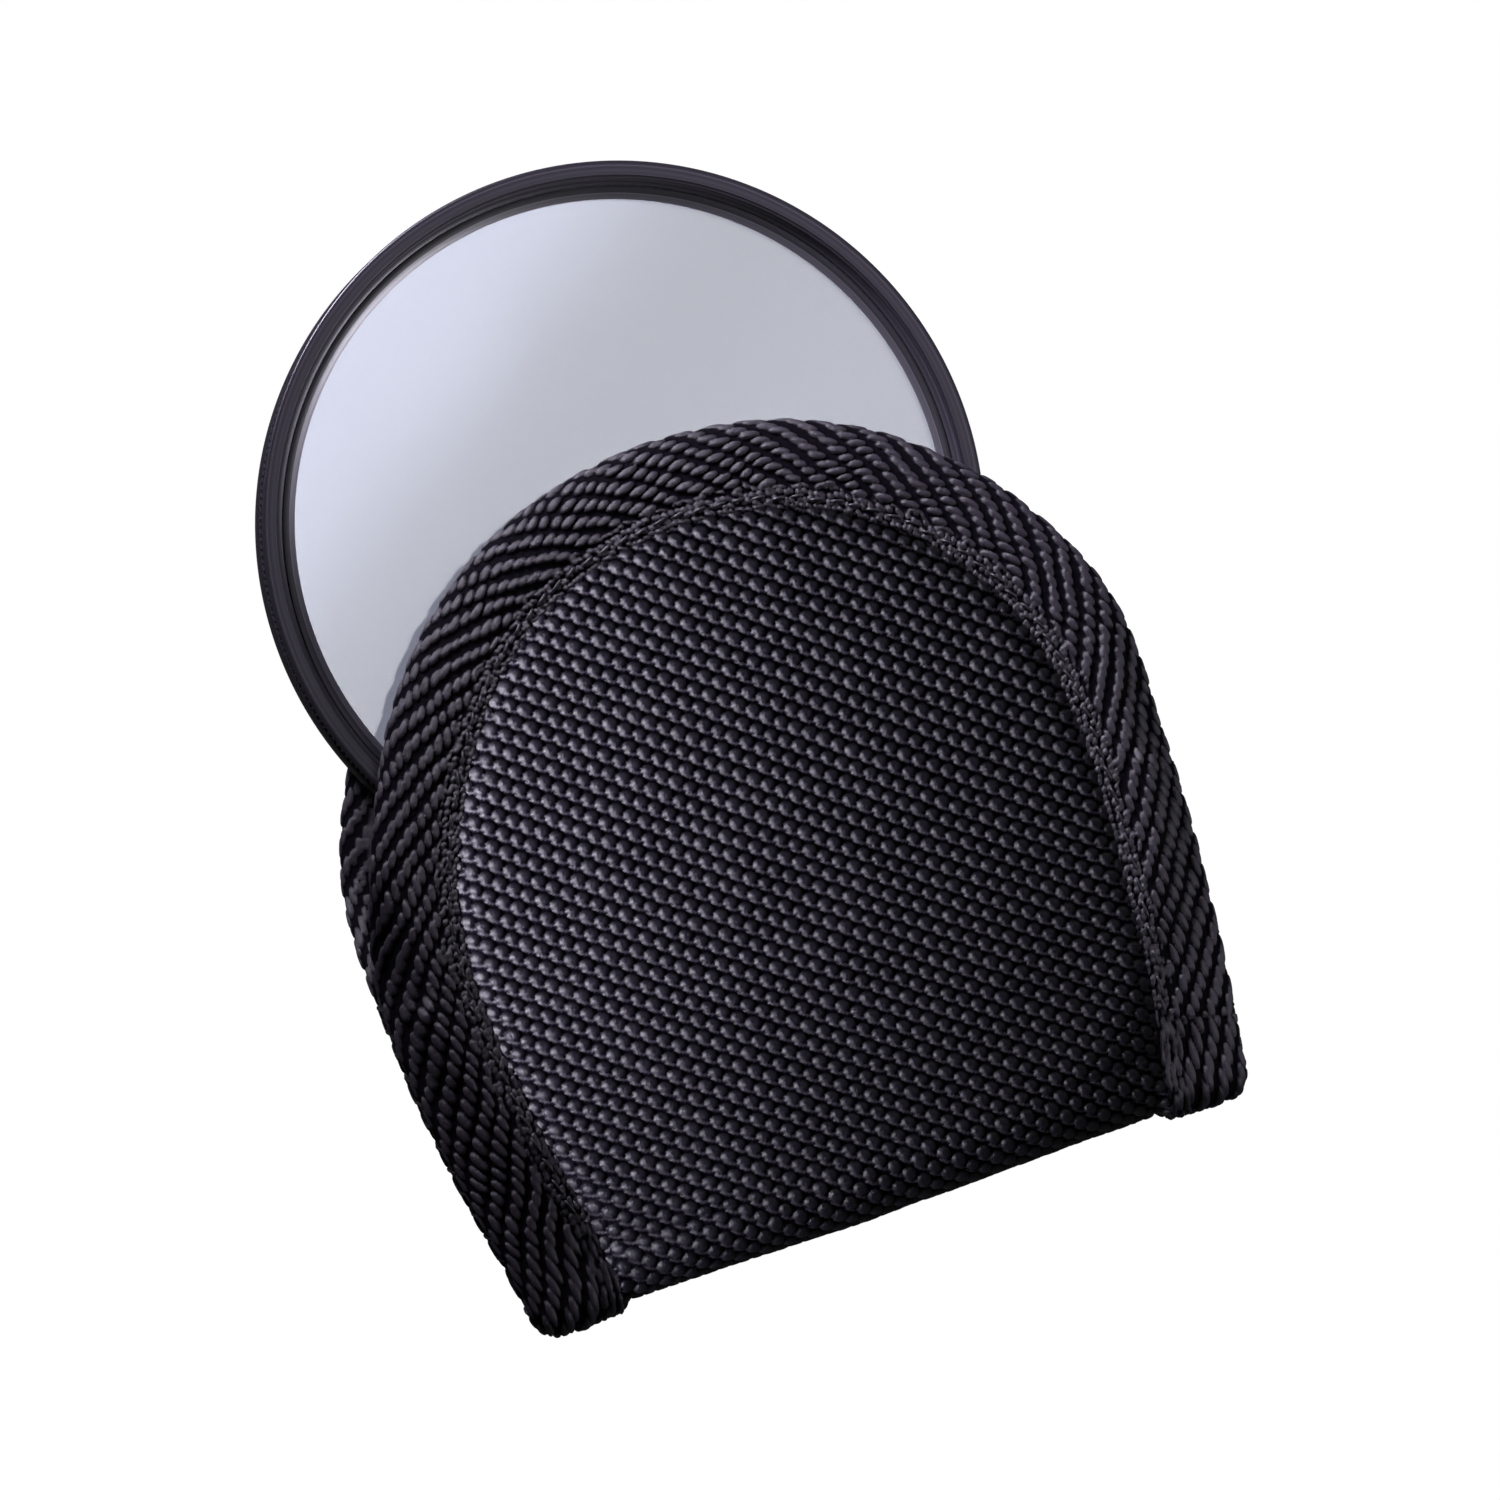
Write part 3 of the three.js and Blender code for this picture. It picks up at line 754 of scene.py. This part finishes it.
class Nodes:
    """A material's node tree round its main shader."""

    def __init__(self, name):
        self.material = bpy.data.materials.new(name)
        self.material.use_nodes = True
        self.tree = self.material.node_tree
        self.shader = self.tree.nodes["Principled BSDF"]

    def add(self, kind, inputs=None, **settings):
        node = self.tree.nodes.new(kind)
        for key, value in settings.items():
            setattr(node, key, value)
        for key, value in (inputs or {}).items():
            if isinstance(value, bpy.types.NodeSocket):
                self.tree.links.new(value, node.inputs[key])
            else:
                node.inputs[key].default_value = value
        return node

    def ramp(self, factor, *stops):
        """A colour or grey between stops of (place, colour or level)."""
        node = self.tree.nodes.new("ShaderNodeValToRGB")
        self.tree.links.new(factor, node.inputs[0])
        elements = node.color_ramp.elements
        elements[0].position, elements[1].position = stops[0][0], stops[-1][0]
        for place, _ in stops[1:-1]:
            elements.new(place)
        for element, (place, value) in zip(elements, stops):
            colour = (value,) * 3 if isinstance(value, (int, float)) else value
            element.color = (*colour, 1)
        return node.outputs["Color"]

    def maths(self, operation, a, b=0.0):
        return self.add("ShaderNodeMath", {0: a, 1: b}, operation=operation).outputs[0]

    def scaled(self, value, factor, offset):
        return self.maths("ADD", self.maths("MULTIPLY", value, factor), offset)

    def soft_step(self, factor, middle, steepness, rise):
        """A soft rise from 0 to rise, half-way up at middle."""
        away = self.maths("MULTIPLY", self.maths("SUBTRACT", factor, middle), -steepness)
        return self.maths("DIVIDE", rise, self.maths("ADD", self.maths("POWER", math.e, away), 1.0))

    def set(self, **values):
        """Sets the shader's inputs, named with _ for each space, and returns the material."""
        for key, value in values.items():
            socket = self.shader.inputs[key.replace("_", " ")]
            if isinstance(value, bpy.types.NodeSocket):
                self.tree.links.new(value, socket)
            else:
                socket.default_value = value
        return self.material


def position(nodes):
    """Object coordinates in millimetres."""
    own = nodes.add("ShaderNodeTexCoord").outputs["Object"]
    mapping = nodes.add("ShaderNodeMapping", {"Vector": own, "Scale": (1000.0,) * 3})
    return mapping.outputs["Vector"]


def noise(nodes, place, scale, detail, roughness=0.6):
    return nodes.add(
        "ShaderNodeTexNoise",
        {"Vector": place, "Scale": scale, "Detail": detail, "Roughness": roughness},
    ).outputs["Fac"]


def attribute(nodes, name):
    return nodes.add("ShaderNodeAttribute", attribute_name=name).outputs["Fac"]


def cloth_material(
    name, dark, light, rough, sheen=0.0, fibre=4.5, bump=0.05, specular=0.5, weft=None, run=None
):
    """Cloth or thread, from dark to light; on a woven piece the dark down between the yarns is a
    painted shade.

    run is for a piece with modelled yarns: how its fibres stretch along its weave's coordinates.
    weft is the colour of its thin floats, lighter than the rest to paint the highlights they catch."""
    nodes = Nodes(name)
    place = position(nodes)
    patches = noise(nodes, place, 0.09, 2.0)
    if run:
        weave = nodes.add("ShaderNodeUVMap", uv_map="weave").outputs["UV"]
        place = nodes.add("ShaderNodeMapping", {"Vector": weave, "Scale": run}).outputs["Vector"]
    fibres = noise(nodes, place, fibre, 4.0, 0.7)
    if run:
        # painted shade: the colour darkens down between the yarns, where the level attribute is low
        level = attribute(nodes, "level")
        shade = nodes.maths("MULTIPLY", level, nodes.scaled(fibres, 0.9, 0.55))
        shade = nodes.maths("MULTIPLY", shade, nodes.scaled(patches, 0.5, 0.75))
        # down between the yarns there is next to no shine
        specular = nodes.ramp(level, (0.12, 0.02), (0.5, specular))
        # a yarn's highlight spreads across its fibres, a quarter turn from its own run
        way = nodes.add("ShaderNodeTangent", direction_type="UV_MAP", uv_map="weave")
        nodes.set(Anisotropic=0.6, Anisotropic_Rotation=0.25, Tangent=way.outputs["Tangent"])
    else:
        shade = nodes.maths("MULTIPLY", fibres, nodes.maths("ADD", patches, 0.5))
    colour = nodes.ramp(shade, (0.05, dark), (0.95, light))
    # painted highlight: the thin weft floats take the lighter weft colour
    if weft:
        weft_highlight = nodes.ramp(fibres, (0.3, tuple(c * 0.6 for c in weft)), (0.7, weft))
        share = attribute(nodes, "weft")
        colour = nodes.add("ShaderNodeMixRGB", {0: share, 1: colour, 2: weft_highlight}).outputs[0]
    roughness = nodes.ramp(fibres, (0.3, rough - 0.1), (0.75, rough + 0.12))
    relief = nodes.add(
        "ShaderNodeBump", {"Strength": 0.55, "Distance": bump * 0.001, "Height": fibres}
    )
    return nodes.set(
        Base_Color=colour,
        Roughness=roughness,
        Normal=relief.outputs["Normal"],
        Sheen_Weight=sheen,
        Sheen_Roughness=0.5,
        Specular_IOR_Level=specular,
    )


def turning_marks(nodes):
    """The distance from the filter's axis, and coordinates in which marks run round that axis."""
    split = nodes.add("ShaderNodeSeparateXYZ", {"Vector": position(nodes)})
    x = nodes.maths("ADD", split.outputs["X"], -FILTER_X)
    y = nodes.maths("ADD", split.outputs["Y"], CENTRE_Y - FILTER_Y)
    squares = nodes.maths("ADD", nodes.maths("MULTIPLY", x, x), nodes.maths("MULTIPLY", y, y))
    radius = nodes.maths("SQRT", squares)
    place = nodes.add("ShaderNodeCombineXYZ", {"X": radius, "Y": split.outputs["Z"]}).outputs[0]
    return radius, place


def ring_material(name, dark, light, rough, lip_highlight=()):
    """Turned metal; its inner edge may take two lighter colours, a painted highlight where that edge
    catches the light.
    """
    nodes = Nodes(name)
    radius, place = turning_marks(nodes)
    marks = noise(nodes, place, 3.0, 4.0, 0.75)
    if lip_highlight:
        # the marks use the lower half of the ramp outside the inner edge and the upper half on it,
        # where the lighter colours paint a highlight
        on_lip_highlight = nodes.maths("MULTIPLY", nodes.maths("LESS_THAN", radius, LIP_RADIUS), 0.5)
        share = nodes.scaled(marks, 0.5, on_lip_highlight)
        colour = nodes.ramp(share, (0.18, dark), (0.32, light), (0.68, lip_highlight[0]), (0.82, lip_highlight[1]))
    else:
        colour = nodes.ramp(marks, (0.36, dark), (0.64, light))
    roughness = nodes.ramp(marks, (0.35, rough - 0.08), (0.65, rough + 0.1))
    relief = nodes.add("ShaderNodeBump", {"Strength": 0.35, "Distance": 0.00002, "Height": marks})
    return nodes.set(
        Base_Color=colour,
        Roughness=roughness,
        Normal=relief.outputs["Normal"],
        Metallic=0.55,
        Specular_IOR_Level=0.6,
    )


# the painted reflection on the discs: where its gradient is centred, which way it grows paler, and
# how far it reaches
PAINTED_REFLECTION_CENTRE = (-2.3, 31.5)  # mm in the frame
PAINTED_REFLECTION_WAY = (-0.566, 0.817)  # towards the palest side
PAINTED_REFLECTION_REACH = 30.0  # mm each way from the centre
TINT_RED, TINT_GREEN = 0.775, 0.805  # as shares of the blue


def clear_material(name, alpha, rough, coat=0.0):
    """A see-through disc whose colour changes softly from one side of it to the other: a painted
    reflection, palest at one side.

    The noise filter takes it as solid where over a quarter of its shading is diffuse, and a
    thin line shows where that changes, so each disc's alpha keeps it on one side all over."""
    nodes = Nodes(name)
    place = position(nodes)
    split = nodes.add("ShaderNodeSeparateXYZ", {"Vector": place})
    x = nodes.maths("ADD", split.outputs["X"], -PAINTED_REFLECTION_CENTRE[0])
    y = nodes.maths("ADD", split.outputs["Y"], -PAINTED_REFLECTION_CENTRE[1])
    across = nodes.scaled(x, PAINTED_REFLECTION_WAY[0], nodes.maths("MULTIPLY", y, PAINTED_REFLECTION_WAY[1]))
    cloud = nodes.maths("MULTIPLY", nodes.maths("SUBTRACT", noise(nodes, place, 0.03, 1.0), 0.5), 8.0)
    along = nodes.maths("ADD", nodes.maths("ADD", across, cloud), PAINTED_REFLECTION_REACH)
    share = nodes.maths("MULTIPLY", along, 1 / (2 * PAINTED_REFLECTION_REACH))
    # painted reflection: palest at one side, darkest a little past the middle
    painted_reflection = nodes.soft_step(share, 0.735, 18.2, 0.40)
    grey = nodes.soft_step(share, 0.365, -11.3, 0.078)
    blue = nodes.maths("ADD", nodes.maths("ADD", painted_reflection, grey), 0.335)
    red = nodes.maths("MULTIPLY", blue, TINT_RED)
    green = nodes.maths("MULTIPLY", blue, TINT_GREEN)
    colour = nodes.add("ShaderNodeCombineColor", {"Red": red, "Green": green, "Blue": blue})
    return nodes.set(
        Base_Color=colour.outputs["Color"],
        Alpha=alpha,
        Roughness=rough,
        Coat_Weight=coat,
        Coat_Roughness=0.03,
        Specular_IOR_Level=0.3,
    )


# the panel's light weft colour paints the highlights that its weft floats catch
FABRIC = cloth_material(
    "panel_nylon", dark=(0.0042, 0.0034, 0.0064), light=(0.0115, 0.0092, 0.018), rough=0.43,
    fibre=1.0, bump=0.2, specular=0.85, weft=(0.06, 0.052, 0.072), run=(5, 1.2, 1),
)
TAPE = cloth_material(
    "binding_weave", dark=(0.0034, 0.0029, 0.0046), light=(0.0215, 0.0178, 0.0258), rough=0.58,
    fibre=1.0, bump=0.4, specular=0.6, run=(0.9, 2.8, 1),
)
THREAD = cloth_material(
    "sewing_thread", dark=(0.006, 0.006, 0.008), light=(0.022, 0.021, 0.027), rough=0.42
)
LINING = cloth_material(
    "lining_cloth", dark=(0.010, 0.010, 0.013), light=(0.028, 0.027, 0.034), rough=0.7,
    sheen=0.3, fibre=2.2,
)
FOAM = cloth_material(
    "foam_core", dark=(0.02, 0.02, 0.022), light=(0.05, 0.05, 0.055), rough=0.9, fibre=1.5
)
RING = ring_material(
    "anodised_black", dark=(0.014, 0.0125, 0.018), light=(0.052, 0.047, 0.062), rough=0.36
)
# the two lighter colours paint the highlight on the retaining ring's inner edge
RETAINER = ring_material(
    "anodised_satin", dark=(0.012, 0.011, 0.015), light=(0.03, 0.028, 0.036), rough=0.4,
    lip_highlight=((0.075, 0.071, 0.086), (0.125, 0.119, 0.14)),
)
WIRE = ring_material(
    "spring_steel", dark=(0.3, 0.3, 0.31), light=(0.45, 0.45, 0.46), rough=0.3
)
# each disc's colour carries a painted reflection that grows paler towards one side
GLASS = clear_material("coated_glass", alpha=0.34, rough=0.02, coat=1.0)
POLARISER = clear_material("polariser_film", alpha=0.7, rough=0.15)
CLEAR = clear_material("retarder_film", alpha=0.06, rough=0.1)


def dress(piece, material):
    piece.data.materials.clear()
    piece.data.materials.append(material)


def finish_piece(piece, material, body, node):
    dress(piece, material)
    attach(piece, body)
    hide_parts(node)
    return piece


# ---------------------------------------------------------------- everything in place


def build():
    panels = outer_panel(1, "outer_fabric_front"), outer_panel(-1, "outer_fabric_back")
    for panel in panels:
        finish_piece(panel, FABRIC, "pouch", "outer_fabric")
    binding = finish_piece(edge_binding(), TAPE, "pouch", "edge_binding")
    finish_piece(binding_stitches(), THREAD, "pouch", "binding_stitching")
    for side, name in ((1, "right_side"), (-1, "left_side")):
        whipping = side_whipping(side, name + "_whipping")
        finish_piece(whipping, THREAD, "pouch", name + "_seam")
    sheet = finish_piece(lining_sheet(), LINING, "pouch", "lining")
    foam = finish_piece(foam_slab(), FOAM, "pouch", "foam_padding")
    finish_piece(rear_ring(), RING, "filter_base", "rear_mount_ring")
    finish_piece(front_ring(), RING, "filter_front", "front_rotating_ring")
    finish_piece(retaining_ring(), RETAINER, "filter_front", "retaining_ring")
    for node, low, high, material, slot in (
        ("front_glass", 5.37, 6.25, GLASS, "filter_glass"),
        ("polarising_film", 5.24, 5.35, POLARISER, "polarising_film"),
        ("quarter_wave_film", 5.11, 5.22, CLEAR, "clear_film"),
        ("rear_glass", 4.16, 5.09, GLASS, "filter_glass"),
    ):
        finish_piece(disc(node + "_disc", low, high), material, "filter_front", node)
    dress(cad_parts["snap_wire"], WIRE)


build()

# ---------------------------------------------------------------- floor, lights and camera

# metres from here on; RIGHT and UP are the camera's, flat on the floor
FRAME_TURN = math.radians(18.9)
RIGHT = Vector((math.cos(FRAME_TURN), -math.sin(FRAME_TURN), 0))
UP = Vector((math.sin(FRAME_TURN), math.cos(FRAME_TURN), 0))
AIM = Vector((0.0018, -0.0071, 0.0078))
LEAN = math.radians(10.0)
LEAN_WAY = Vector((-0.98, -0.2, 0)).normalized()
CAMERA_DISTANCE = 1.7
FRAME_WIDTH = 0.16465
SENSOR_WIDTH = 36.0
FLOOR_GAP = 0.0012  # the fabric's relief reaches a little under the CAD model


def staged(name, mesh, colour, strength):
    """A white surface that only the camera sees, so it throws nothing back at the object."""
    made = bpy.data.objects.new(name, mesh)
    bpy.context.scene.collection.objects.link(made)
    nodes = Nodes(name + "_white")
    grain = noise(nodes, position(nodes), 0.02, 2.0)
    nodes.set(
        Base_Color=nodes.ramp(grain, (0.3, colour), (0.7, tuple(c + 0.02 for c in colour))),
        Roughness=0.8,
        Emission_Color=(1, 1, 1, 1),
        Emission_Strength=strength,
    )
    mesh.materials.append(nodes.material)
    made.visible_glossy = False
    made.visible_diffuse = False
    return made


def floor():
    size = 9.0
    mesh = bpy.data.meshes.new("floor")
    corners = [(-size, -size, 0), (size, -size, 0), (size, size, 0), (-size, size, 0)]
    mesh.from_pydata(corners, [], [(0, 1, 2, 3)])
    staged("floor", mesh, (0.1, 0.1, 0.1), 1.0).location.z = cad_low.z - FLOOR_GAP
    dome = bpy.data.meshes.new("backdrop")
    ball = bmesh.new()
    bmesh.ops.create_uvsphere(ball, u_segments=48, v_segments=24, radius=8.5)
    bmesh.ops.reverse_faces(ball, faces=ball.faces)
    ball.to_mesh(dome)
    ball.free()
    staged("backdrop", dome, (0.3, 0.3, 0.3), 0.98)


def area_light(
    name, right, up, high, size, watts, colour=(1, 1, 1), aim=(0, 0), spread=180, only=(), shades=True
):
    """A lamp this far right, up and high of AIM, turned to the point aim = (right, up) there.

    It lights only the pieces in only; with shades off, nothing else casts a shadow from it."""
    light = bpy.data.lights.new(name, "AREA")
    light.shape = "RECTANGLE"
    light.size, light.size_y = size
    light.energy = watts
    light.color = colour
    light.spread = math.radians(spread)
    lamp = bpy.data.objects.new(name, light)
    offset = RIGHT * right + UP * up + Vector((0, 0, high))
    lamp.location = AIM + offset
    lamp.rotation_mode = "QUATERNION"
    towards = RIGHT * aim[0] + UP * aim[1] - offset
    lamp.rotation_quaternion = towards.to_track_quat("-Z", "Y")
    bpy.context.scene.collection.objects.link(lamp)
    if only:
        lit = bpy.data.collections.new(name + "_lit")
        for piece in only:
            lit.objects.link(bpy.data.objects[piece])
        lamp.light_linking.receiver_collection = lit
        if not shades:
            lamp.light_linking.blocker_collection = lit


def lights():
    metal = ("front_rotating_ring_turned", "rear_mount_ring_turned", "retaining_ring_turned")
    cloth = ("outer_fabric_front", "outer_fabric_back", "lining_sheet")
    bound = (
        "edge_binding_tape", "binding_stitches", "right_side_whipping", "left_side_whipping",
        "foam_slab", "snap_wire", *metal,
    )
    discs = ("front_glass_disc", "rear_glass_disc", "polarising_film_disc", "quarter_wave_film_disc")
    area_light(
        "panel_key", right=-0.175, up=0.02, high=0.084, size=(0.24, 0.05), watts=0.185,
        colour=(0.90, 0.87, 1.0), aim=(-0.07, 0.062), spread=50, only=cloth,
    )
    area_light(
        "edge_key", right=-0.17, up=0.245, high=0.15, size=(0.14, 0.14), watts=0.31,
        colour=(0.90, 0.86, 1.0), aim=(0, 0.078), spread=42, only=bound,
    )
    area_light(
        "glass_key", right=-0.08, up=0.08, high=0.45, size=(0.3, 0.3), watts=2.5,
        colour=(0.96, 0.97, 1.0), only=discs, shades=False,
    )
    area_light("high_fill", right=0.3, up=0.55, high=0.4, size=(0.3, 0.3), watts=0.2)
    area_light(
        "right_fill", right=0.3, up=-0.05, high=0.15, size=(0.2, 0.15), watts=0.4,
        colour=(0.92, 0.9, 1.0), only=bound,
    )
    area_light("ring_top", right=0.14, up=0, high=0.5, size=(0.3, 0.3), watts=0.22, only=metal)
    area_light("ring_low", right=0.3, up=-0.16, high=0.11, size=(0.2, 0.12), watts=1.6, only=metal)
    world = bpy.data.worlds.new("studio")
    world.use_nodes = True
    background = world.node_tree.nodes["Background"]
    background.inputs["Color"].default_value = (0.96, 0.97, 1.0, 1)
    background.inputs["Strength"].default_value = 0.04
    bpy.context.scene.world = world


def camera():
    data = bpy.data.cameras.new("photo_camera")
    data.sensor_width = SENSOR_WIDTH
    data.lens = SENSOR_WIDTH * CAMERA_DISTANCE / FRAME_WIDTH
    data.clip_start, data.clip_end = 0.05, 20
    view = bpy.data.objects.new("photo_camera", data)
    bpy.context.scene.collection.objects.link(view)
    back = (LEAN_WAY * math.sin(LEAN) + Vector((0, 0, math.cos(LEAN)))).normalized()
    right = (RIGHT - back * RIGHT.dot(back)).normalized()
    up = back.cross(right)
    turn = Matrix((right, up, back)).transposed().to_4x4()
    view.matrix_world = Matrix.Translation(AIM + back * CAMERA_DISTANCE) @ turn
    bpy.context.scene.camera = view


floor()
lights()
camera()
bpy.context.scene.view_settings.view_transform = "Standard"

bpy.context.view_layer.update()
